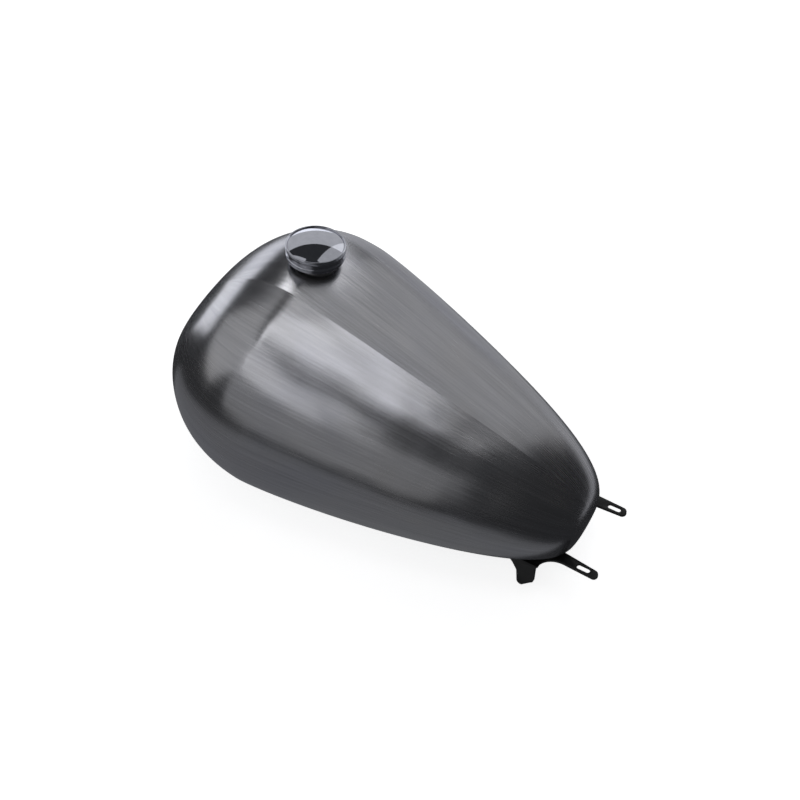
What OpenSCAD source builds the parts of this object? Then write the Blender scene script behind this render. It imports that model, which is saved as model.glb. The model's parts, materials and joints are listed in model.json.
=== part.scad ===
// Teardrop motorcycle fuel tank: two pressed half shells joined along a centre crease, a pan with the
// channel that straddles the frame's backbone, a screw cap on an off-centre neck, and two slotted
// rear brackets. All lengths are in millimetres. +X points to the blunt front, +Y to the rider's
// left, +Z up. The origin is midway between the two threaded front bosses, on their lower face.

/* [Body] */
// Length ahead of the widest station
len_front = 152; // [130:1:180]
// Length behind the widest station
len_rear = 345.5; // [300:0.5:400]
// Half width at the widest station
half_width = 153; // [120:1:180]
// Half width the sides taper to at the tail
tail_half_width = 63; // [45:1:80]
// Height of the ridge above the belt line
ridge_height = 133; // [100:1:160]
// Height the ridge falls to at the tail
tail_height = 69; // [45:1:90]
// Depth of the lobes below the belt line
belly_depth = 80; // [55:1:100]
// Depth the underside rises to at the tail
tail_depth = 9; // [4:1:30]
// Distance of the highest point ahead of the widest station
peak_forward = 26; // [0:1:60]
// Height of the soft crease along the centre
crease_height = 1.6; // [0:0.1:4]
// Sheet thickness
sheet = 1.6; // [1:0.1:3]

/* [Curves] */
// Bluntness of the nose in plan
nose_power = 2.1; // [1.6:0.05:3]
// Root of the nose curve in plan
nose_root = 2.2; // [1.6:0.05:3]
// Squareness of the tail in plan
tail_power = 8.3; // [3:0.1:12]
// Root of the tail curve
tail_root = 3.7; // [2:0.1:5]
// How late the sides draw in towards the tail
taper_power = 1.3; // [1:0.05:2]
// How late the ridge falls towards the tail
fall_power = 1.05; // [1:0.05:2]
// Root of the ridge's curve over the nose
ridge_root = 1.2; // [1:0.05:2.4]
// Fullness of the upper half of a cross section
upper_power = 2.4; // [2:0.05:3]
// Fullness of the lower half of a cross section
lower_power = 2.25; // [2:0.05:3]
// Steepness of the upper half close to the belt line
shoulder = 0.9; // [0.8:0.01:1]
// How late the underside swoops up towards the tail
swoop_power = 1.8; // [1:0.1:3]

/* [Backbone channel] */
// Half width of the channel
channel_half = 29; // [22:0.5:36]
// Height of the channel's roof at the nose, above the belt line
channel_roof = 26; // [10:1:40]
// Fall of the roof towards the tail, degrees
channel_fall = 5.3; // [3:0.1:8]
// Radius of the roof's long corners
channel_corner = 14; // [6:1:24]

/* [Filler] */
// Station of the filler, ahead of the widest station
filler_x = 33.3; // [10:0.1:60]
// Distance of the filler to the right of the centre
filler_y = 53; // [30:0.5:80]
// Forward lean of the filler, degrees
filler_pitch = 10; // [0:0.5:20]
// Outward lean of the filler, degrees
filler_roll = 15; // [0:0.5:25]
// Bore radius of the filler neck
neck_bore_r = 21.5; // [18:0.5:26]
// Outer radius of the cap's rim
cap_r = 31.5; // [28:0.5:36]
// Height of the cap's rim above the sheet
rim_height = 16.85; // [14:0.05:22]
// Rise of the cap's dome above its edge
dome_rise = 6.2; // [3:0.1:10]

/* [Rear brackets] */
// Upward slope of the bracket plates towards the tail, degrees
bracket_slope = 15.7; // [8:0.1:22]
// Thickness of the bracket plates
bracket_thick = 4; // [2.5:0.1:5]
// Distance of each arm from the centre
arm_y = 38.8; // [32:0.1:46]
// Reach of the right arm behind the plate, to the centre of its round tip
arm_reach = 29; // [24:0.5:40]
// How much further the left arm reaches
left_extra = 4.5; // [0:0.5:8]
// Outward splay of the left arm at its tip
left_splay = 2.2; // [0:0.1:4]
// Half width of an arm at its root
arm_half = 5.9; // [5:0.1:9]
// Half width of an arm at its tip
tip_half = 4.8; // [4:0.1:8]
// Half width of the slot in an arm
slot_half = 2.7; // [2.5:0.1:4]
// Length of the slot, end to end
slot_len = 15; // [12:1:24]
// Distance of the slot's middle behind the plate
slot_back = 20; // [14:0.5:26]
// Outer edge of a bracket plate, from the centre
plate_edge = 62; // [56:1:70]
// Length of an ear, from the plate to its end
ear_len = 41; // [28:1:48]
// Outward lean of an ear, degrees
ear_lean = 17; // [5:1:30]

/* [Front bosses] */
// Station of the pair of front bosses, ahead of the widest station
boss_x = 78; // [40:1:110]
// Distance between the two front bosses
boss_pitch = 40; // [25:1:60]
// Height of the bosses' lower face above the belt line
boss_face = 12; // [6:1:16]
// Radius of the tapped holes
boss_tap_r = 3.4; // [2.5:0.1:4.5]

/* [Outlet flange] */
// Distance between the two tapped holes for the fuel valve
outlet_pitch = 34; // [30:1:44]
// Radius of the fuel's way out
outlet_bore_r = 8.5; // [6:0.5:10]
// Radius of the tapped holes beside it
outlet_tap_r = 2.5; // [2:0.1:3.5]

/* [Hidden] */
stations = 44;
upper_steps = 16;
lower_steps = 8;
seam = 0.02;

// ---- curves of the body: k is how far the surface is drawn in ----
function fall(s, p, r) = pow(max(0, 1 - pow(max(0, s), p)), 1 / r);
function ease(t) = (1 + cos(180 * pow(max(0, t), swoop_power))) / 2;
function side(x, k) = x >= 0 ? (half_width - k) * fall(x / (len_front - k), nose_power, nose_root)
  : (half_width - (half_width - tail_half_width) * pow(-x / (len_rear - k), taper_power) - k)
    * fall(-x / (len_rear - k), tail_power, tail_root);
function crown(x, k) = x >= peak_forward
  ? (ridge_height - k) * fall((x - peak_forward) / (len_front - k - peak_forward), nose_power, ridge_root)
  : let (t = (peak_forward - x) / (len_rear - k + peak_forward))
    (ridge_height - (ridge_height - tail_height) * pow(t, fall_power) - k) * fall(t, 8, tail_root);
function belly(x, k) = x >= 0 ? (belly_depth - k) * fall(x / (len_front - k), nose_power, nose_root)
  : let (t = -x / (len_rear - k))
    (tail_depth + (belly_depth - tail_depth) * ease(t) - k) * fall(t, tail_power, tail_root);
function station(i, k) = -(len_rear - k) + (len_front + len_rear - 2 * k) * (1 - cos(180 * i / stations)) / 2;
function turn(j) = j < lower_steps ? -90 + 90 * j / lower_steps : 90 * (j - lower_steps) / upper_steps;
function crease(y, x, k) = crease_height * exp(-abs(y) / 14) * crown(x, k) / ridge_height;
function skin(x, v, k) = let (
    y = side(x, k) * pow(abs(cos(v)), 2 / (v >= 0 ? upper_power : lower_power)),
    z = v >= 0 ? crown(x, k) * pow(sin(v), shoulder) + crease(y, x, k) * pow(sin(v), 2)
      : -belly(x, k) * pow(-sin(v), 2 / lower_power))
  [x, y, z];
function top_z(x, y) = crown(x, 0)
  * pow(sin(acos(pow(min(1, abs(y) / side(x, 0)), upper_power / 2))), shoulder);

rows = upper_steps + lower_steps;
function cell(i, j) = i == 0 ? 0 : i == stations ? 1 : 2 + (i - 1) * (rows + 1) + j;
function half_points(k) = concat([[-(len_rear - k), 0, 0], [len_front - k, 0, 0]],
  [for (i = [1:stations - 1]) for (j = [0:rows]) skin(station(i, k), turn(j), k)]);
count = 2 + (stations - 1) * (rows + 1);
function sheet_faces() = concat(
  [for (i = [0:stations - 2]) for (j = [0:rows - 1]) [cell(i, j), cell(i + 1, j), cell(i + 1, j + 1)]],
  [for (i = [1:stations - 1]) for (j = [0:rows - 1]) [cell(i, j), cell(i + 1, j + 1), cell(i, j + 1)]]);
function flip(f, c) = [for (t = f) [t[0] + c, t[2] + c, t[1] + c]];
function rim_faces() = [for (i = [0:stations - 1]) each [
  [cell(i, 0), cell(i, 0) + count, cell(i + 1, 0) + count],
  [cell(i, 0), cell(i + 1, 0) + count, cell(i + 1, 0)],
  [cell(i, rows), cell(i + 1, rows), cell(i + 1, rows) + count],
  [cell(i, rows), cell(i + 1, rows) + count, cell(i, rows) + count]]];

module half_sheet() translate([0, seam, 0])
  polyhedron(concat(half_points(0), half_points(sheet)),
    concat(sheet_faces(), flip(sheet_faces(), count), rim_faces()), convexity = 8);

// solid filled by the whole outer surface, drawn in by k
function ring_cell(i, j) = i == 0 ? 0 : i == stations ? 1
  : 2 + (i - 1) * 2 * rows + (j + 2 * rows) % (2 * rows);
function ring_point(i, j, k) = j <= rows ? skin(station(i, k), turn(j), k)
  : let (p = skin(station(i, k), turn(2 * rows - j), k)) [p[0], -p[1], p[2]];
module whole_body(k)
  polyhedron(
    concat([[-(len_rear - k), 0, 0], [len_front - k, 0, 0]],
      [for (i = [1:stations - 1]) for (j = [0:2 * rows - 1]) ring_point(i, j, k)]),
    concat(
      [for (i = [0:stations - 2]) for (j = [0:2 * rows - 1])
        [ring_cell(i, j), ring_cell(i + 1, j), ring_cell(i + 1, j + 1)]],
      [for (i = [1:stations - 1]) for (j = [0:2 * rows - 1])
        [ring_cell(i, j), ring_cell(i + 1, j + 1), ring_cell(i, j + 1)]]), convexity = 8);

// ---- shared places and shapes ----
module placed() translate([-boss_x, 0, -boss_face]) children();
module at_filler() translate([filler_x, -filler_y, top_z(filler_x, filler_y)])
  rotate([filler_roll, filler_pitch, 0]) children();
module at_bracket() translate([-len_rear + 2, 0, -10.6]) rotate([0, bracket_slope, 0]) children();
function arc(cx, cy, rx, ry, a0, a1, n) =
  [for (i = [0:n]) let (a = a0 + (a1 - a0) * i / n) [cx + rx * cos(a), cy + ry * sin(a)]];
module ring(h0, h1, ri, ro, fn = 64) translate([0, 0, h0]) difference() {
  cylinder(h = h1 - h0, r = ro, $fn = fn);
  translate([0, 0, -1]) cylinder(h = h1 - h0 + 2, r = ri, $fn = fn);
}
module channel(k) {
  mid = channel_half - channel_corner;
  r = channel_corner + k;
  translate([len_front, 0, channel_roof + k]) rotate([0, -channel_fall, 0])
    translate([-560, 0, 0]) rotate([90, 0, 90]) linear_extrude(height = 640)
      polygon(concat([[channel_half + k, -150]], arc(mid, -r, r, r, 0, 90, 5),
        arc(-mid, -r, r, r, 90, 180, 5), [[-channel_half - k, -150]]));
}
bracket_bolts_at = [[17, 39], [43, 46]];

// flange for the fuel valve: a round middle with an ear for a bolt ahead of it and one behind
outlet_at = [-112, 48];
outlet_face = -78;
outlet_depth = 14;
outlet_mid_r = 14;
outlet_ear_r = 8.5;
module outlet_outline(grow) {
  turn = acos((outlet_mid_r - outlet_ear_r) / (outlet_pitch / 2));
  mid = (outlet_mid_r + grow) * [cos(turn), sin(turn)];
  ear = [outlet_pitch / 2, 0] + (outlet_ear_r + grow) * [cos(turn), sin(turn)];
  circle(r = outlet_mid_r + grow, $fn = 64);
  for (s = [-1, 1]) translate([s * outlet_pitch / 2, 0]) circle(r = outlet_ear_r + grow, $fn = 48);
  polygon([ear, mid, [-mid[0], mid[1]], [-ear[0], ear[1]], [-ear[0], -ear[1]], [-mid[0], -mid[1]],
    [mid[0], -mid[1]], [ear[0], -ear[1]]]);
}

// ---- body ----
module left_shell() color("#6f7074") placed() difference() {
  half_sheet();
  channel(sheet + 0.05);
  at_bracket() for (p = bracket_bolts_at) translate([p[0], p[1], -10]) cylinder(h = 40, r = 6.6, $fn = 32);
  translate([outlet_at[0], outlet_at[1], outlet_face - 5]) linear_extrude(height = 40) outlet_outline(0.1);
}
module right_shell() color("#6a6b6f") placed() difference() {
  mirror([0, 1, 0]) half_sheet();
  channel(sheet + 0.05);
  at_bracket() for (p = bracket_bolts_at) translate([p[0], -p[1], -10]) cylinder(h = 40, r = 6.6, $fn = 32);
  at_filler() translate([0, 0, -20]) cylinder(h = 40, r = neck_bore_r + 2.6, $fn = 96);
}
module channel_pan() color("#5d5e62") placed() difference() {
  intersection() {
    whole_body(0);
    difference() {
      channel(sheet);
      channel(0);
    }
  }
  for (s = [-1, 1]) translate([boss_x + s * boss_pitch / 2, 0, 0]) cylinder(h = 40, r = 9.1, $fn = 48);
}
module outlet_flange() color("#8a8b8f") placed()
  translate([outlet_at[0], outlet_at[1], outlet_face]) difference() {
  linear_extrude(height = outlet_depth) outlet_outline(0);
  translate([0, 0, -1]) cylinder(h = outlet_depth + 2, r = outlet_bore_r, $fn = 64);
  for (s = [-1, 1]) translate([s * outlet_pitch / 2, 0, -1]) cylinder(h = 11, r = outlet_tap_r, $fn = 32);
}
module front_bosses() color("#8a8b8f") placed() for (s = [-1, 1])
  translate([boss_x + s * boss_pitch / 2, 0, boss_face]) difference() {
    union() {
      cylinder(h = 17, r = 9, $fn = 48);
      cylinder(h = 2, r = 11, $fn = 48);
    }
    translate([0, 0, -1]) cylinder(h = 13, r = boss_tap_r, $fn = 32);
  }

// ---- filler neck and cap, heights measured outward along the filler's axis ----
neck_top = 9.5;
module filler_neck() color("#7b7c80") placed() at_filler() rotate_extrude($fn = 96) polygon(concat(
  [[neck_bore_r, -14], [neck_bore_r + 2.5, -14], [neck_bore_r + 2.5, neck_top - 2.4]],
  arc(neck_bore_r + 2.9, neck_top - 1.2, 1.2, 1.2, -90, 90, 8),
  [[neck_bore_r + 1, neck_top], [neck_bore_r, neck_top - 1]]));
module gasket() color("#1c1c1e") placed() at_filler() ring(neck_top + 0.05, 12, neck_bore_r + 0.2, 26, 96);
module cap_plate() color("#3a3b3e") placed() at_filler() difference() {
  ring(12.1, 14.4, 1.4, 28.7, 96);
  for (a = [90, 210, 330]) rotate([0, 0, a]) translate([27.35, 0, 11]) cylinder(h = 5, r = 1.05, $fn = 24);
}
module cap_spigot() color("#444548") placed() at_filler() rotate_extrude($fn = 96)
  polygon([[18.4, 12.1], [18.4, -3], [20.4, -3], [21.2, -2.2], [21.2, 12.1]]);
module vent_housing() color("#4b4c50") placed() at_filler() rotate_extrude($fn = 64)
  polygon([[1.4, 12.1], [1.4, 10.6], [5.6, 10.6], [5.6, 2], [8, 2], [8, 12.1]]);
module cap_skirt() color("#c9ccd2") placed() at_filler() difference() {
  rotate_extrude($fn = 120) polygon(concat(
    [[29.1, 3.6], [30, 3.2], [30.7, 3.8], [30.7, 7.2], [30, 8], [30, 9], [30.7, 9.8]],
    [[31, 11.4], [31, 14.6], [30.6, 15.6], [25, 15.6], [25, 14.5], [29.1, 14.5]]));
  for (a = [90, 210, 330]) rotate([0, 0, a]) translate([27.35, 0, 11]) cylinder(h = 6, r = 1.05, $fn = 24);
}
module cap_rim() color("#d8dade") placed() at_filler() translate([0, 0, rim_height])
  rotate_extrude($fn = 120) translate([cap_r - 1.3, 0]) circle(r = 1.2, $fn = 24);
module cap_dome() color("#d2d5da") placed() at_filler() {
  edge = cap_r - 2.6;
  ball = (edge * edge + dome_rise * dome_rise) / (2 * dome_rise);
  translate([0, 0, 15.7]) difference() {
    intersection() {
      cylinder(h = dome_rise + 1.3, r = edge, $fn = 120);
      translate([0, 0, dome_rise + 1.3 - ball]) sphere(r = ball, $fn = 120);
    }
    translate([0, 0, dome_rise - ball]) sphere(r = ball, $fn = 120);
  }
}
module core_rivets() color("#b9bbc0") placed() at_filler() for (a = [90, 210, 330])
  rotate([0, 0, a]) translate([27.35, 0, 0]) {
    translate([0, 0, 12]) cylinder(h = 3.55, r = 1, $fn = 24);
    translate([0, 0, 11]) cylinder(h = 1, r = 1.25, $fn = 24);
  }
module vent_seat() color("#1c1c1e") placed() at_filler() ring(10, 10.55, 1.8, 5.5, 48);
module vent_retainer() color("#a58a4d") placed() at_filler() ring(2.2, 3, 1.7, 5.55, 48);
module vent_valve() color("#b59a5a") placed() at_filler() {
  translate([0, 0, 9]) cylinder(h = 0.95, r = 4.6, $fn = 48);
  translate([0, 0, 1.4]) cylinder(h = 7.7, r = 1.2, $fn = 32);
}
spring_r = 3.3;
wire_r = 0.35;
function coil(i) = let (a = 18 * i) [spring_r * cos(a), spring_r * sin(a), 3.45 + 5.1 * i / 100];
module vent_spring() color("#9a9ca1") placed() at_filler() {
  n = 100;
  m = 6;
  pts = [for (i = [0:n]) let (c = coil(i), a = 18 * i) for (j = [0:m - 1])
    let (b = 360 * j / m) c + wire_r * cos(b) * [cos(a), sin(a), 0] + wire_r * sin(b) * [0, 0, 1]];
  polyhedron(pts, concat(
    [[for (j = [0:m - 1]) j]],
    [for (i = [0:n - 1]) for (j = [0:m - 1]) each [
      [i * m + j, (i + 1) * m + j, (i + 1) * m + (j + 1) % m],
      [i * m + j, (i + 1) * m + (j + 1) % m, i * m + (j + 1) % m]]],
    [[for (j = [m - 1:-1:0]) n * m + j]]));
}

// ---- rear brackets, drawn for the left side in the plane of the plate ----
module bracket_outline(extra, splay) difference() {
  polygon(concat(
    arc(-arm_reach - extra, arm_y + splay, tip_half, tip_half, 270, 90, 12),
    arc(0, plate_edge, 23, plate_edge - arm_y - arm_half, -90, 0, 10),
    arc(53, plate_edge - 8, 8, 8, 90, 0, 6),
    arc(55, 39, 6, 6, 0, -90, 6),
    arc(6, 31, 4, 2, 90, 130, 3)));
  translate([-slot_back - 0.3 * extra, arm_y + 0.55 * splay]) {
    for (s = [-1, 1]) translate([s * (slot_len / 2 - slot_half), 0]) circle(r = slot_half, $fn = 32);
    square([slot_len - 2 * slot_half, 2 * slot_half], center = true);
  }
}
module ear_outline() polygon(concat(
  [[22, 0]],
  arc(18, 5.5, 6, 5.5, -60, 0, 4),
  [[24, 12]],
  arc(28.5, ear_len - 15, 4.5, 4.5, 180, 115, 5),
  arc(38.2, ear_len - 5, 5, 5, 105, 10, 6),
  [[45, 20], [51, 10]],
  [[57, 4], [61, 0]]));
module bracket(extra, splay) at_bracket() {
  difference() {
    translate([0, 0, -bracket_thick]) linear_extrude(height = bracket_thick) bracket_outline(extra, splay);
    for (p = bracket_bolts_at) translate([p[0], p[1], -10]) cylinder(h = 20, r = 3.3, $fn = 32);
  }
}
module ear() at_bracket() translate([0, plate_edge - bracket_thick, 0]) rotate([ear_lean - 90, 0, 0])
  translate([0, -0.2, 0]) linear_extrude(height = bracket_thick) ear_outline();
module left_bracket() color("#26272a") placed() {
  bracket(left_extra, left_splay);
  ear();
}
module right_bracket() color("#242528") placed() mirror([0, 1, 0]) {
  bracket(0, 0);
  ear();
}
module at_bolts() for (s = [0, 1]) mirror([0, s, 0]) at_bracket()
  for (p = bracket_bolts_at) translate([p[0], p[1], 0]) children();
module bracket_bosses() color("#77787c") placed() at_bolts() difference() {
  translate([0, 0, 0.02]) cylinder(h = 17, r = 6.5, $fn = 48);
  translate([0, 0, -1]) cylinder(h = 15, r = 2.55, $fn = 32);
}
module bracket_washers() color("#9fa1a5") placed() at_bolts()
  ring(-bracket_thick - 1.62, -bracket_thick - 0.02, 3.2, 6.2, 48);
module bracket_bolts() color("#85878b") placed() at_bolts() translate([0, 0, -bracket_thick - 1.65]) {
  translate([0, 0, -4.2]) cylinder(h = 4.2, r = 5.6, $fn = 6);
  translate([0, 0, -0.1]) cylinder(h = 15, r = 2.5, $fn = 32);
}

left_shell();
right_shell();
channel_pan();
filler_neck();
outlet_flange();
front_bosses();
bracket_bosses();
left_bracket();
right_bracket();
bracket_washers();
bracket_bolts();
gasket();
cap_plate();
cap_spigot();
vent_housing();
cap_skirt();
cap_rim();
cap_dome();
core_rivets();
vent_seat();
vent_retainer();
vent_valve();
vent_spring();
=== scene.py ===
import bmesh
import bpy
import json
import math
import numpy as np
from mathutils import Matrix, Vector


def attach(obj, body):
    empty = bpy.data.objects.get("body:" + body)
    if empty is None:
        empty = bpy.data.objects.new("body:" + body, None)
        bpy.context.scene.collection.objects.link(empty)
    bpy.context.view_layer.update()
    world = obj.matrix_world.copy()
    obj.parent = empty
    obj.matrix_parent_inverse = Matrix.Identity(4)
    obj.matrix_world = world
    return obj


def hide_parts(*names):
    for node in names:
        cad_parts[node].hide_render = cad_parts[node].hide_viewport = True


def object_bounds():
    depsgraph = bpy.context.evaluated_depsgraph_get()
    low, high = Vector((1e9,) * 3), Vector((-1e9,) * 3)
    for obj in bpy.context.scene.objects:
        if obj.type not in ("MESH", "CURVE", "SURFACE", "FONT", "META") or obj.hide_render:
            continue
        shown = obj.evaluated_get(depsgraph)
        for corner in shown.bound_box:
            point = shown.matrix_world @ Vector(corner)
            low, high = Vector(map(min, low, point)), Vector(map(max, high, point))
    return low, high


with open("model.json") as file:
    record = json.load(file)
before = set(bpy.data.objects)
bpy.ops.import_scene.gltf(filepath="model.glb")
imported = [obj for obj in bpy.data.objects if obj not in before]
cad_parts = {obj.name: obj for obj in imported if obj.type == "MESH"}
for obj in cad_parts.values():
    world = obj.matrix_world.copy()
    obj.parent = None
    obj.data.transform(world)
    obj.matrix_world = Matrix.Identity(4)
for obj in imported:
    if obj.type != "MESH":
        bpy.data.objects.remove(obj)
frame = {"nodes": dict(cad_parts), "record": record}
cad_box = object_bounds()

MM = 0.001
# ---- driving sizes, millimetres, as in part.scad ----
LEN_FRONT, LEN_REAR = 152, 345.5
HALF_WIDTH, TAIL_HALF_WIDTH = 153, 63
RIDGE, TAIL_HEIGHT = 133, 69
BELLY, TAIL_DEPTH = 80, 9
PEAK = 26
CREASE, CREASE_SPREAD = 1.6, 14
SHEET = 1.6
NOSE_POWER, NOSE_ROOT = 2.1, 2.2
TAIL_POWER, TAIL_ROOT = 8.3, 3.7
RIDGE_END_POWER = 8
TAPER_POWER, FALL_POWER, RIDGE_ROOT = 1.3, 1.05, 1.2
UPPER_POWER, LOWER_POWER, SHOULDER = 2.4, 2.25, 0.9
SWOOP_POWER = 1.8
CHANNEL_HALF, CHANNEL_ROOF, CHANNEL_FALL, CHANNEL_CORNER = 29, 26, 5.3, 14
CHANNEL_REACH = 150
FILLER = (33.3, -53)
FILLER_PITCH, FILLER_ROLL = 10, 15
FILLER_HOLE_R = 24.1
CAP_R = 31.5
RIM_HEIGHT, RIM_INSET, RIM_WIRE = 16.85, 1.3, 1.2
DOME_BASE, DOME_RISE, DOME_SHEET, DOME_INSET = 15.7, 6.2, 1.3, 2.6
RIVET_REACH, RIVET_HOLE_R = 27.35, 1.05
SKIRT_BORE, SKIRT_OUT, SKIRT_LOW, SKIRT_TOP = 29.1, 30.7, 4.0, 15.6
LIP_BORE, LIP_UNDER = 25.0, 14.5
GROOVE_R, GROOVE_LOW, GROOVE_HIGH = 30.0, 8.1, 8.9
BRACKET_SLOPE, BRACKET_AHEAD, BRACKET_LEVEL = 15.7, 2, -10.6
BRACKET_BOLTS = ((17, 39), (43, 46))
BOSS_HOLE_R = 6.6
OUTLET_AT = (-112, 48, -78)
OUTLET_PITCH, OUTLET_MID, OUTLET_EAR = 34, 14, 8.5
ORIGIN = Vector((-78, 0, -12)) * MM
# ---- allowances of the visual pieces alone, millimetres ----
DRAW_IN = 0.15
SEAM_GAP = 0.02
CHANNEL_GAP = 0.05
OUTLET_GAP = 0.1
PRESSED_EDGE = 0.45


# ---- curves of the body; x and v are arrays, k is how far the surface is drawn in ----
def falloff(s, power, root):
    return np.maximum(0, 1 - np.maximum(0, s) ** power) ** (1 / root)


def side(x, k=0.0):
    t = np.maximum(0, -x) / (LEN_REAR - k)
    ahead = (HALF_WIDTH - k) * falloff(x / (LEN_FRONT - k), NOSE_POWER, NOSE_ROOT)
    behind = HALF_WIDTH - (HALF_WIDTH - TAIL_HALF_WIDTH) * t**TAPER_POWER - k
    return np.where(x >= 0, ahead, behind * falloff(t, TAIL_POWER, TAIL_ROOT))


def crown(x, k=0.0):
    s = (x - PEAK) / (LEN_FRONT - k - PEAK)
    t = np.maximum(0, PEAK - x) / (LEN_REAR - k + PEAK)
    ahead = (RIDGE - k) * falloff(s, NOSE_POWER, RIDGE_ROOT)
    behind = (RIDGE - (RIDGE - TAIL_HEIGHT) * t**FALL_POWER - k) * falloff(t, RIDGE_END_POWER, TAIL_ROOT)
    return np.where(x >= PEAK, ahead, behind)


def belly(x, k=0.0):
    t = np.clip(-x / (LEN_REAR - k), 0, 1)
    ease = (1 + np.cos(np.pi * t**SWOOP_POWER)) / 2
    ahead = (BELLY - k) * falloff(x / (LEN_FRONT - k), NOSE_POWER, NOSE_ROOT)
    behind = (TAIL_DEPTH + (BELLY - TAIL_DEPTH) * ease - k) * falloff(t, TAIL_POWER, TAIL_ROOT)
    return np.where(x >= 0, ahead, behind)


def skin(x, v, k=0.0):
    """Points of the left half of the surface, for stations x and section angles v in radians."""
    c, s = np.abs(np.cos(v)), np.abs(np.sin(v))
    up = v >= 0
    y = side(x, k) * c ** (2 / np.where(up, UPPER_POWER, LOWER_POWER))
    crease = CREASE * np.exp(-y / CREASE_SPREAD) * crown(x, k) / RIDGE * s**2
    z = np.where(up, crown(x, k) * s**SHOULDER + crease, -belly(x, k) * s ** (2 / LOWER_POWER))
    return np.stack([x + 0 * y, y, z], -1)


def top_z(x, y):
    c = min(1, abs(y) / float(side(np.array(x)))) ** (UPPER_POWER / 2)
    return float(crown(np.array(x))) * math.sin(math.acos(c)) ** SHOULDER


# ---- places ----
FILLER_PLACE = (
    Matrix.Translation(Vector((FILLER[0], FILLER[1], top_z(*FILLER))) * MM + ORIGIN)
    @ Matrix.Rotation(math.radians(FILLER_PITCH), 4, "Y")
    @ Matrix.Rotation(math.radians(FILLER_ROLL), 4, "X")
)
BRACKET_PLACE = (
    Matrix.Translation(Vector((-LEN_REAR + BRACKET_AHEAD, 0, BRACKET_LEVEL)) * MM + ORIGIN)
    @ Matrix.Rotation(math.radians(BRACKET_SLOPE), 4, "Y")
)
MIRROR = Matrix.Scale(-1, 4, (0, 1, 0))


# ---- mesh helpers ----
def new_object(name, data):
    obj = bpy.data.objects.new(name, data)
    bpy.context.scene.collection.objects.link(obj)
    return obj


def add_piece(name, mesh, body, node):
    """A piece that rides on a body and takes the place of a CAD node."""
    obj = new_object(name, mesh)
    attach(obj, body)
    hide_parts(node)
    return obj


def mesh_from(name, points, faces, place=Matrix.Identity(4)):
    mesh = bpy.data.meshes.new(name)
    mesh.from_pydata([tuple(place @ Vector(p)) for p in points], [], faces)
    if place.determinant() < 0:
        mesh.flip_normals()
    mesh.update()
    return mesh


def face_outwards(mesh, merge=None):
    """Turns every face of a closed mesh outwards, after merging points closer than that distance."""
    bm = bmesh.new()
    bm.from_mesh(mesh)
    if merge:
        bmesh.ops.remove_doubles(bm, verts=bm.verts, dist=merge)
    bmesh.ops.recalc_face_normals(bm, faces=bm.faces)
    bm.to_mesh(mesh)
    bm.free()


def prism_faces(n):
    """Faces of a prism whose points are an outline of n points, and the same outline moved along."""
    faces = [tuple(range(n))[::-1], tuple(range(n, 2 * n))]
    faces += [(i, (i + 1) % n, n + (i + 1) % n, n + i) for i in range(n)]
    return faces


def smooth(obj, angle):
    obj.data.shade_smooth()
    obj.data.set_sharp_from_angle(angle=math.radians(angle))


def apply_modifiers(obj):
    depsgraph = bpy.context.evaluated_depsgraph_get()
    mesh = bpy.data.meshes.new_from_object(obj.evaluated_get(depsgraph))
    obj.modifiers.clear()
    old = obj.data
    obj.data = mesh
    bpy.data.meshes.remove(old)


def lathe(name, outline, node, turns=192):
    """A closed outline of (radius, height) points in millimetres, turned about the filler's axis."""
    points, faces = [], []
    n = len(outline)
    for i in range(turns):
        a = 2 * math.pi * i / turns
        points += [(r * MM * math.cos(a), r * MM * math.sin(a), h * MM) for r, h in outline]
    for i in range(turns):
        j = (i + 1) % turns
        for k in range(n):
            m = (k + 1) % n
            faces.append((i * n + k, j * n + k, j * n + m, i * n + m))
    mesh = mesh_from(name, points, faces, FILLER_PLACE)
    face_outwards(mesh, merge=1e-7)
    return add_piece(name, mesh, "cap", node)


def arc(cx, cy, rx, ry, a0, a1, n):
    out = []
    for i in range(n + 1):
        a = math.radians(a0 + (a1 - a0) * i / n)
        out.append((cx + rx * math.cos(a), cy + ry * math.sin(a)))
    return out


def cylinder_mesh(name, place, radius, low, high, turns):
    points, faces = [], []
    for i in range(turns):
        a = 2 * math.pi * i / turns
        points += [(radius * math.cos(a), radius * math.sin(a), z) for z in (low, high)]
    for i in range(turns):
        j = (i + 1) % turns
        faces.append((2 * i, 2 * j, 2 * j + 1, 2 * i + 1))
    faces.append(tuple(2 * i for i in reversed(range(turns))))
    faces.append(tuple(2 * i + 1 for i in range(turns)))
    return mesh_from(name, [Vector(p) * MM for p in points], faces, place)


def cut(obj, cutters):
    """Cuts solid meshes out of obj, exactly."""
    for mesh in cutters:
        tool = new_object("cutter", mesh)
        step = obj.modifiers.new("cut", "BOOLEAN")
        step.operation = "DIFFERENCE"
        step.solver = "EXACT"
        step.object = tool
        bpy.context.view_layer.update()
        apply_modifiers(obj)
        bpy.data.objects.remove(tool)
        bpy.data.meshes.remove(mesh)


# ---- material helpers ----
BRUSHING = "brushing"
STEEL_GREY = 0.52


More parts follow.
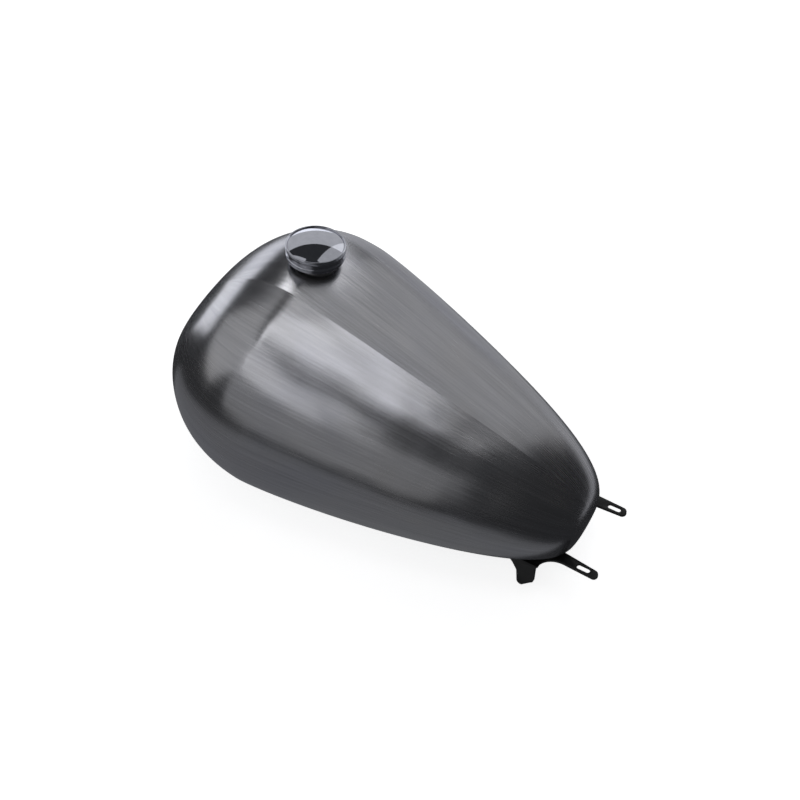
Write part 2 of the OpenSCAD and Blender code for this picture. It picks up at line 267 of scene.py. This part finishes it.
class Nodes:
    """A short way to build one material's node tree."""

    def __init__(self, name):
        self.mat = bpy.data.materials.new(name)
        self.mat.use_nodes = True
        self.tree = self.mat.node_tree
        self.shader = self.tree.nodes["Principled BSDF"]

    def add(self, kind, inputs=None, **settings):
        node = self.tree.nodes.new(kind)
        for key, value in settings.items():
            setattr(node, key, value)
        for key, value in (inputs or {}).items():
            if isinstance(value, bpy.types.NodeSocket):
                self.tree.links.new(value, node.inputs[key])
            else:
                node.inputs[key].default_value = value
        return node

    def link(self, out, key):
        self.tree.links.new(out, self.shader.inputs[key])

    def set(self, **values):
        for key, value in values.items():
            self.shader.inputs[key.replace("_", " ")].default_value = value

    def scaled(self, vector, scale):
        return self.add("ShaderNodeMapping", {"Vector": vector, "Scale": scale}).outputs[0]

    def blend(self, a, b, share):
        """Mix of two grey values, with that share of the second."""
        return self.add("ShaderNodeMix", {0: share, 2: a, 3: b}, data_type="FLOAT").outputs[0]

    def multiply(self, a, b):
        inputs = {0: 1.0, 6: a, 7: b}
        return self.add("ShaderNodeMix", inputs, data_type="RGBA", blend_type="MULTIPLY").outputs[2]

    def noise(self, vector, scale, detail, rough):
        inputs = {"Vector": vector, "Scale": scale, "Detail": detail, "Roughness": rough}
        return self.add("ShaderNodeTexNoise", inputs)

    def mapped(self, scale):
        """The piece's own coordinates in metres, times a scale along each axis."""
        coords = self.add("ShaderNodeTexCoord")
        return self.scaled(coords.outputs["Object"], scale)

    def ramp(self, value, stops):
        node = self.add("ShaderNodeValToRGB", {"Fac": value})
        ramp = node.color_ramp
        while len(ramp.elements) < len(stops):
            ramp.elements.new(0.5)
        for element, (pos, colour) in zip(ramp.elements, stops):
            element.position = pos
            c = (colour,) * 3 if isinstance(colour, (int, float)) else colour
            element.color = (*c, 1)
        return node.outputs["Color"]

    def span(self, value, low, high):
        return self.add("ShaderNodeMapRange", {"Value": value, "To Min": low, "To Max": high}).outputs[0]

    def bump(self, height, strength, distance, normal=None):
        inputs = {"Height": height, "Strength": strength, "Distance": distance}
        if normal is not None:
            inputs["Normal"] = normal
        return self.add("ShaderNodeBump", inputs).outputs[0]


def raw_steel(name, grey, brushed):
    """Bare pressed steel brushed by hand along its length, with faint bluish and brownish clouds."""
    n = Nodes(name)
    if brushed:
        lay = n.add("ShaderNodeUVMap", uv_map=BRUSHING).outputs["UV"]
        n.link(n.add("ShaderNodeTangent", direction_type="UV_MAP", uv_map=BRUSHING).outputs[0], "Tangent")
        n.set(Anisotropic=0.35, Anisotropic_Rotation=0.25)
    else:
        lay = n.mapped((1, 1, 1))
    strokes = n.noise(n.scaled(lay, (12, 520, 520)), 1.0, 4.0, 0.68).outputs["Fac"]
    scuffs = n.noise(n.scaled(lay, (5, 95, 95)), 1.0, 3.0, 0.55).outputs["Fac"]
    clouds = n.noise(n.mapped((7, 8, 8)), 1.0, 4.0, 0.55).outputs["Fac"]
    bluish = (0.93 * grey, 0.93 * grey, 1.00 * grey)
    plain = (grey, 0.995 * grey, 1.03 * grey)
    brownish = (1.05 * grey, 1.03 * grey, 1.04 * grey)
    tone = n.ramp(clouds, [(0.30, bluish), (0.50, plain), (0.70, brownish)])
    worn = n.ramp(n.blend(strokes, scuffs, 0.35), [(0.32, 0.84), (0.50, 1.0), (0.68, 1.16)])
    n.link(n.multiply(tone, worn), "Base Color")
    n.link(n.span(n.blend(strokes, clouds, 0.5), 0.14, 0.36), "Roughness")
    waves = n.noise(n.mapped((8, 11, 9)), 1.0, 1.5, 0.45).outputs["Fac"]
    fine = n.bump(strokes, 0.35, 0.00006)
    n.link(n.bump(waves, 1.0, 0.0050, fine), "Normal")
    n.set(Metallic=1.0)
    return n.mat


def turned_steel(name, grey=0.45, rough=0.3):
    n = Nodes(name)
    grain = n.noise(n.mapped((60, 60, 900)), 1.0, 3.0, 0.5).outputs["Fac"]
    spots = n.noise(n.mapped((90, 90, 90)), 1.0, 4.0, 0.6).outputs["Fac"]
    n.link(n.ramp(spots, [(0.35, grey * 0.82), (0.65, grey * 1.08)]), "Base Color")
    n.link(n.span(grain, rough - 0.07, rough + 0.10), "Roughness")
    n.link(n.bump(grain, 0.2, 0.00005), "Normal")
    n.set(Metallic=1.0)
    return n.mat


def black_paint(name, tone=1.0):
    """Satin black paint on pressed steel, rubbed a little lighter in places."""
    n = Nodes(name)
    peel = n.noise(n.mapped((520, 520, 520)), 1.0, 2.0, 0.5).outputs["Fac"]
    dust = n.noise(n.mapped((60, 60, 60)), 1.0, 5.0, 0.6).outputs["Fac"]
    shades = [(0.30, 0.0035 * tone), (0.55, 0.0065 * tone), (0.80, 0.013 * tone)]
    n.link(n.ramp(dust, shades), "Base Color")
    n.link(n.span(dust, 0.30, 0.50), "Roughness")
    n.link(n.bump(peel, 0.16, 0.00008), "Normal")
    n.set(Specular_IOR_Level=0.45)
    return n.mat


def chrome(name):
    """Bright chrome plate with the faintest polishing haze."""
    n = Nodes(name)
    haze = n.noise(n.mapped((120, 120, 120)), 1.0, 5.0, 0.6).outputs["Fac"]
    wave = n.noise(n.mapped((38, 38, 38)), 1.0, 1.0, 0.4).outputs["Fac"]
    n.link(n.ramp(haze, [(0.35, (0.64, 0.65, 0.71)), (0.65, (0.70, 0.71, 0.77))]), "Base Color")
    n.link(n.span(haze, 0.02, 0.07), "Roughness")
    n.link(n.bump(wave, 0.10, 0.0003), "Normal")
    n.set(Metallic=1.0)
    return n.mat


def rubber(name):
    n = Nodes(name)
    grain = n.noise(n.mapped((1500, 1500, 1500)), 1.0, 3.0, 0.6).outputs["Fac"]
    dust = n.noise(n.mapped((80, 80, 80)), 1.0, 4.0, 0.6).outputs["Fac"]
    n.link(n.ramp(dust, [(0.35, 0.012), (0.7, 0.028)]), "Base Color")
    n.link(n.span(dust, 0.62, 0.78), "Roughness")
    n.link(n.bump(grain, 0.3, 0.00008), "Normal")
    return n.mat


def brass(name):
    n = Nodes(name)
    spots = n.noise(n.mapped((150, 150, 150)), 1.0, 4.0, 0.6).outputs["Fac"]
    n.link(n.ramp(spots, [(0.35, (0.42, 0.28, 0.10)), (0.7, (0.62, 0.45, 0.18))]), "Base Color")
    n.link(n.span(spots, 0.22, 0.42), "Roughness")
    n.set(Metallic=1.0)
    return n.mat


FLOOR_GLOW = 0.92


def floor_paint(name):
    n = Nodes(name)
    mottle = n.noise(n.mapped((3, 3, 3)), 1.0, 3.0, 0.5).outputs["Fac"]
    pale = n.ramp(mottle, [(0.3, (0.86, 0.86, 0.86)), (0.7, (0.88, 0.88, 0.88))])
    n.link(pale, "Base Color")
    n.link(pale, "Emission Color")
    n.set(Roughness=0.9, Specular_IOR_Level=0.1, Emission_Strength=FLOOR_GLOW)
    return n.mat


MATERIALS = {
    "raw_steel": raw_steel("raw_steel", STEEL_GREY, True),
    "pan_steel": raw_steel("pan_steel", 0.40, False),
    "neck_steel": turned_steel("neck_steel", 0.40, 0.32),
    "turned_steel": turned_steel("turned_steel", 0.46, 0.30),
    "zinc_plate": turned_steel("zinc_plate", 0.55, 0.26),
    "spring_steel": turned_steel("spring_steel", 0.50, 0.28),
    "black_paint": black_paint("black_paint"),
    "cap_black": black_paint("cap_black", 1.3),
    "cap_chrome": chrome("cap_chrome"),
    "black_rubber": rubber("black_rubber"),
    "vent_brass": brass("vent_brass"),
}


def paint(obj, slot):
    obj.data.materials.clear()
    obj.data.materials.append(MATERIALS[slot])


# ---- the tank's half shells ----
STATIONS, UPPER_ROWS, LOWER_ROWS = 190, 72, 34


def half_grid(k):
    i = np.arange(1, STATIONS)
    x = -(LEN_REAR - k) + (LEN_FRONT + LEN_REAR - 2 * k) * (1 - np.cos(np.pi * i / STATIONS)) / 2
    v = np.concatenate([np.linspace(-90, 0, LOWER_ROWS + 1)[:-1], np.linspace(0, 90, UPPER_ROWS + 1)])
    return skin(x[:, None], np.radians(v)[None, :], k)


def shell_mesh(name, mirrored):
    rows = UPPER_ROWS + LOWER_ROWS
    points, faces = [], []

    def cell(base, i, j):
        if i == 0 or i == STATIONS:
            return base + (0 if i == 0 else 1)
        return base + 2 + (i - 1) * (rows + 1) + j

    bases = []
    for k in (DRAW_IN, SHEET):
        bases.append(len(points))
        points += [(-(LEN_REAR - k), 0, 0), (LEN_FRONT - k, 0, 0)]
        points += [tuple(p) for p in half_grid(k).reshape(-1, 3)]
    for base, inward in zip(bases, (False, True)):
        for i in range(STATIONS):
            for j in range(rows):
                corners = ((i, j), (i, j + 1), (i + 1, j + 1), (i + 1, j))
                face = list(dict.fromkeys(cell(base, *corner) for corner in corners))
                faces.append(face[::-1] if inward else face)
    for i in range(STATIONS):
        for j, flip in ((0, True), (rows, False)):
            corners = ((0, i), (1, i), (1, i + 1), (0, i + 1))
            quad = [cell(bases[layer], station, j) for layer, station in corners]
            faces.append(quad[::-1] if flip else quad)
    place = Matrix.Translation(ORIGIN) @ Matrix.Scale(MM, 4)
    if mirrored:
        place = place @ MIRROR
    mesh = mesh_from(name, points, faces, place @ Matrix.Translation((0, SEAM_GAP, 0)))
    face_outwards(mesh)
    return mesh


def channel_mesh(k):
    """Solid that fills the channel below the tank, k wider and higher than the channel."""
    section = [(CHANNEL_HALF + k, -CHANNEL_REACH)]
    r = CHANNEL_CORNER + k
    section += arc(CHANNEL_HALF - CHANNEL_CORNER, -r, r, r, 0, 90, 8)
    section += arc(CHANNEL_CORNER - CHANNEL_HALF, -r, r, r, 90, 180, 8)
    section.append((-CHANNEL_HALF - k, -CHANNEL_REACH))
    points = [(x, y, z) for x in (-560, 80) for y, z in section]
    place = (
        Matrix.Translation(ORIGIN)
        @ Matrix.Scale(MM, 4)
        @ Matrix.Translation((LEN_FRONT, 0, CHANNEL_ROOF + k))
        @ Matrix.Rotation(math.radians(-CHANNEL_FALL), 4, "Y")
    )
    mesh = mesh_from("channel", points, prism_faces(len(section)), place)
    face_outwards(mesh)
    return mesh


def outlet_mesh(grow):
    """Prism round the outlet flange: a round middle with an ear ahead of it and one behind."""
    turn = math.degrees(math.acos((OUTLET_MID - OUTLET_EAR) / (OUTLET_PITCH / 2)))
    ear, mid, reach = OUTLET_EAR + grow, OUTLET_MID + grow, OUTLET_PITCH / 2
    outline = arc(reach, 0, ear, ear, -turn, turn, 16)
    outline += arc(0, 0, mid, mid, turn, 180 - turn, 16)
    outline += arc(-reach, 0, ear, ear, 180 - turn, 180 + turn, 16)
    outline += arc(0, 0, mid, mid, 180 + turn, 360 - turn, 16)
    points = [Vector((x, y, z)) * MM for z in (-5, 35) for x, y in outline]
    place = Matrix.Translation(Vector(OUTLET_AT) * MM + ORIGIN)
    return mesh_from("outlet_hole", points, prism_faces(len(outline)), place)


def lay_brushing(mesh, mirrored):
    """Lays the brushing's direction and spacing on a shell, in metres along it and round it."""
    layer = mesh.uv_layers.new(name=BRUSHING)
    for loop in mesh.loops:
        p = mesh.vertices[loop.vertex_index].co - ORIGIN
        turn = math.atan2(p.z, abs(p.y) + 0.02)
        layer.data[loop.index].uv = (p.x, 0.13 * turn + (3.0 if mirrored else 0.0))


def half_shell(name, mirrored):
    """One half of the body, with its holes for the brackets' bosses, the neck or the outlet."""
    obj = add_piece(name + "_skin", shell_mesh(name, mirrored), "tank", name)
    cutters = [channel_mesh(SHEET + CHANNEL_GAP)]
    flip = -1 if mirrored else 1
    for x, y in BRACKET_BOLTS:
        place = BRACKET_PLACE @ Matrix.Translation(Vector((x, y * flip, 0)) * MM)
        cutters.append(cylinder_mesh("boss_hole", place, BOSS_HOLE_R, -10, 30, 48))
    if mirrored:
        cutters.append(cylinder_mesh("filler_hole", FILLER_PLACE, FILLER_HOLE_R, -20, 20, 128))
    else:
        cutters.append(outlet_mesh(OUTLET_GAP))
    cut(obj, cutters)
    lay_brushing(obj.data, mirrored)
    paint(obj, "raw_steel")
    smooth(obj, 30)


# ---- the cap's bright parts ----
def rivet_holes():
    holes = []
    for turn in (90, 210, 330):
        place = FILLER_PLACE @ Matrix.Rotation(math.radians(turn), 4, "Z")
        place = place @ Matrix.Translation(Vector((RIVET_REACH, 0, 0)) * MM)
        holes.append(cylinder_mesh("rivet_hole", place, RIVET_HOLE_R, 11, 17, 24))
    return holes


def cap_skirt():
    """Pressed skirt: a rolled lower edge, a groove round its middle and a flat lip on top."""
    hem = (SKIRT_OUT - SKIRT_BORE) / 2
    outline = [(SKIRT_BORE, LIP_UNDER), (SKIRT_BORE, SKIRT_LOW)]
    outline += arc(SKIRT_BORE + hem, SKIRT_LOW, hem, hem, 180, 360, 8)
    outline += [(SKIRT_OUT, 7.0)] + arc(SKIRT_OUT - 0.2, 7.2, 0.2, 0.2, 0, 60, 2)
    outline += [(GROOVE_R, GROOVE_LOW), (GROOVE_R, GROOVE_HIGH)]
    outline += arc(30.4, 9.7, 0.3, 0.3, -50, 0, 3)
    outline += [(SKIRT_OUT, 11.0)] + arc(30.75, 11.5, 0.25, 0.25, -50, 0, 3)
    outline += arc(30.4, SKIRT_TOP - 0.6, 0.6, 0.6, 0, 90, 6)
    outline += [(LIP_BORE, SKIRT_TOP), (LIP_BORE, LIP_UNDER)]
    obj = lathe("cap_skirt_shell", outline, "cap_skirt")
    cut(obj, rivet_holes())
    paint(obj, "cap_chrome")
    smooth(obj, 28)


def cap_rim():
    """Rolled wire edge between the dome and the skirt."""
    outline = arc(CAP_R - RIM_INSET, RIM_HEIGHT, RIM_WIRE, RIM_WIRE, 0, 360, 28)[:-1]
    obj = lathe("cap_rim_ring", outline, "cap_rim")
    paint(obj, "cap_chrome")
    smooth(obj, 40)


def cap_dome():
    """Shallow dome, a slice of a ball's shell, that ends inside the rolled edge."""
    edge = CAP_R - DOME_INSET
    ball = (edge**2 + DOME_RISE**2) / (2 * DOME_RISE)
    spread = math.degrees(math.asin(edge / ball))
    low = DOME_BASE + DOME_RISE - ball
    outline = arc(0, low, ball, ball, 90 - spread, 90, 40)[::-1]
    outline += arc(0, low + DOME_SHEET, ball, ball, 90 - spread, 90, 40)
    obj = lathe("cap_dome_shell", outline, "cap_dome")
    paint(obj, "cap_chrome")
    smooth(obj, 30)


# ---- the brackets, with the soft edges that pressing leaves ----
def bracket(name):
    mesh = frame["nodes"][name].data.copy()
    mesh.name = name + "_soft"
    bm = bmesh.new()
    bm.from_mesh(mesh)
    bmesh.ops.remove_doubles(bm, verts=bm.verts, dist=2e-6)
    bmesh.ops.dissolve_limit(bm, angle_limit=math.radians(0.8), verts=bm.verts, edges=bm.edges)
    bm.to_mesh(mesh)
    bm.free()
    obj = add_piece(name + "_soft", mesh, "tank", name)
    step = obj.modifiers.new("soft_edges", "BEVEL")
    step.width = PRESSED_EDGE * MM
    step.segments = 3
    step.limit_method = "ANGLE"
    step.angle_limit = math.radians(35)
    bpy.context.view_layer.update()
    apply_modifiers(obj)
    paint(obj, "black_paint")
    smooth(obj, 30)


half_shell("left_shell", False)
half_shell("right_shell", True)
cap_skirt()
cap_rim()
cap_dome()
bracket("left_bracket")
bracket("right_bracket")

# ---- the other parts keep their shape and take their materials ----
KEPT = (
    "channel_pan", "filler_neck", "outlet_flange", "front_bosses", "bracket_bosses", "bracket_washers",
    "bracket_bolts", "gasket", "cap_plate", "cap_spigot", "vent_housing", "core_rivets",
    "vent_seat", "vent_retainer", "vent_valve", "vent_spring",
)
SLOTS = {part["node"]: part["material_slot"] for part in frame["record"]["subparts"]}
for node_name in KEPT:
    paint(frame["nodes"][node_name], SLOTS[node_name])


# ---- floor, lights and camera, in metres ----
ROOM_HALF, WALL_HEIGHT = 6, 6
CARD_DROP = 0.004
LIGHT_CENTRE = Vector((-0.19, 0, 0.03))
LIGHT_DISTANCE = 2.5
LIGHT_TINT = (0.97, 0.98, 1.0)
SKY_COLOUR, SKY_STRENGTH = (0.9, 0.93, 1.0), 0.032
CAMERA_PLACE = Vector((-0.3556, 0.4207, 0.9860))
CAMERA_AIM = Vector((-0.1869, 0.0, 0.0303))
CAMERA_ROLL, CAMERA_LENS, FILM_WIDTH = 10.4, 44.6, 36


def stage_piece(name, points, faces, material):
    """Something that belongs to the studio and not to the tank."""
    obj = new_object(name, mesh_from(name, points, faces))
    obj.data.materials.append(material)
    return obj


def sheet_points(low_corner, high_corner, z):
    (x0, y0), (x1, y1) = low_corner, high_corner
    return [(x0, y0, z), (x1, y0, z), (x1, y1, z), (x0, y1, z)]


def floor(low, material):
    """Pale floor, which is left out of reflections."""
    points = sheet_points((-ROOM_HALF, -ROOM_HALF), (ROOM_HALF, ROOM_HALF), low)
    obj = stage_piece("floor", points, [(0, 1, 2, 3)], material)
    obj.visible_glossy = False


def backdrop(low, material):
    """Pale walls at the floor's edges, which only the camera sees."""
    corners = sheet_points((-ROOM_HALF, -ROOM_HALF), (ROOM_HALF, ROOM_HALF), low)
    points = [(x, y, z) for x, y, low in corners for z in (low, low + WALL_HEIGHT)]
    walls = [(2 * i, 2 * i + 1, (2 * i + 3) % 8, (2 * i + 2) % 8) for i in range(4)]
    obj = stage_piece("backdrop", points, walls, material)
    obj.visible_glossy = False
    obj.visible_diffuse = False
    obj.visible_shadow = False


def card(name, low_corner, high_corner, z, glow):
    """A flat glowing card that is only seen in reflections."""
    n = Nodes(name)
    mottle = n.noise(n.mapped((2, 2, 2)), 1.0, 2.0, 0.5).outputs["Fac"]
    n.link(n.ramp(mottle, [(0.3, (0.80, 0.82, 0.90)), (0.7, (0.95, 0.97, 1.0))]), "Emission Color")
    n.set(Base_Color=(0, 0, 0, 1), Emission_Strength=glow)
    n.mat.cycles.emission_sampling = "NONE"
    obj = stage_piece(name, sheet_points(low_corner, high_corner, z), [(0, 1, 2, 3)], n.mat)
    obj.visible_camera = False
    obj.visible_diffuse = False
    obj.visible_shadow = False


def lit_only(light, pieces, state):
    """Lights only those pieces (INCLUDE) or everything but them (EXCLUDE)."""
    group = bpy.data.collections.new(light.name + "_group")
    for piece in pieces:
        group.objects.link(piece)
    for member in group.collection_objects:
        member.light_linking.link_state = state
    light.light_linking.receiver_collection = group


def softbox(name, azimuth, elevation, wide, tall, brightness):
    """A soft light in that direction, wide and tall in degrees, as bright as steel shows it."""
    a, e = math.radians(azimuth), math.radians(elevation)
    away = Vector((math.cos(e) * math.cos(a), math.cos(e) * math.sin(a), math.sin(e)))
    data = bpy.data.lights.new(name, "AREA")
    data.shape = "RECTANGLE"
    data.size = 2 * LIGHT_DISTANCE * math.tan(math.radians(wide / 2))
    data.size_y = 2 * LIGHT_DISTANCE * math.tan(math.radians(tall / 2))
    data.energy = brightness / STEEL_GREY * math.pi * data.size * data.size_y
    data.color = LIGHT_TINT
    obj = new_object(name, data)
    turn = (-away).to_track_quat("-Z", "Y").to_matrix().to_4x4()
    obj.matrix_world = Matrix.Translation(LIGHT_CENTRE + LIGHT_DISTANCE * away) @ turn
    return obj


def camera():
    data = bpy.data.cameras.new("camera")
    data.lens = CAMERA_LENS
    data.sensor_width = FILM_WIDTH
    data.clip_start, data.clip_end = 0.05, 30
    obj = new_object("camera", data)
    turn = (CAMERA_AIM - CAMERA_PLACE).to_track_quat("-Z", "Y").to_matrix().to_4x4()
    roll = Matrix.Rotation(math.radians(CAMERA_ROLL), 4, "Z")
    obj.matrix_world = Matrix.Translation(CAMERA_PLACE) @ turn @ roll
    bpy.context.scene.camera = obj


def sky(colour, strength):
    world = bpy.data.worlds.new("world")
    world.use_nodes = True
    background = world.node_tree.nodes["Background"]
    background.inputs["Color"].default_value = (*colour, 1)
    background.inputs["Strength"].default_value = strength
    bpy.context.scene.world = world


FLOOR_LOW = min(cad_box[0][2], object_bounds()[0][2])
FLOOR_PAINT = floor_paint("floor_paint")
floor(FLOOR_LOW, FLOOR_PAINT)
backdrop(FLOOR_LOW, FLOOR_PAINT)
# a table under the tank as the steel shows it, brighter ahead of the tank and dimmer beside it
CARD_LEVEL = FLOOR_LOW - CARD_DROP
card("far_table", (-2.5, -4.0), (0.3, -0.25), CARD_LEVEL, 0.4)
card("front_table", (0.3, -1.0), (2.0, 0.0), CARD_LEVEL, 1.2)
card("near_table", (-0.6, 0.1), (0.2, 3.0), CARD_LEVEL, 0.17)
# soft boxes round the tank, each with its azimuth, elevation, width, height and brightness
KEY = softbox("key", -60, 25, 30, 45, 1.1)
OVERHEAD = softbox("overhead", -60, 85, 32, 14, 0.75)
OVERHEAD_LEFT = softbox("overhead_left", 75, 65, 30, 25, 0.35)
softbox("front_fill", 15, 35, 50, 60, 0.22)
softbox("far_fill", -98, 35, 38, 70, 0.20)
softbox("near_fill", 86, 35, 55, 55, 0.12)
# the bright trim would burn out under the strong boxes, so it has one dim wide box of its own
BRIGHT = [bpy.data.objects[name] for name in ("cap_skirt_shell", "cap_rim_ring", "cap_dome_shell")]
for light in (KEY, OVERHEAD, OVERHEAD_LEFT):
    lit_only(light, BRIGHT, "EXCLUDE")
lit_only(softbox("trim_fill", -60, 6, 110, 50, 0.24), BRIGHT, "INCLUDE")
sky(SKY_COLOUR, SKY_STRENGTH)
camera()
bpy.context.scene.view_settings.view_transform = "Standard"

bpy.context.view_layer.update()
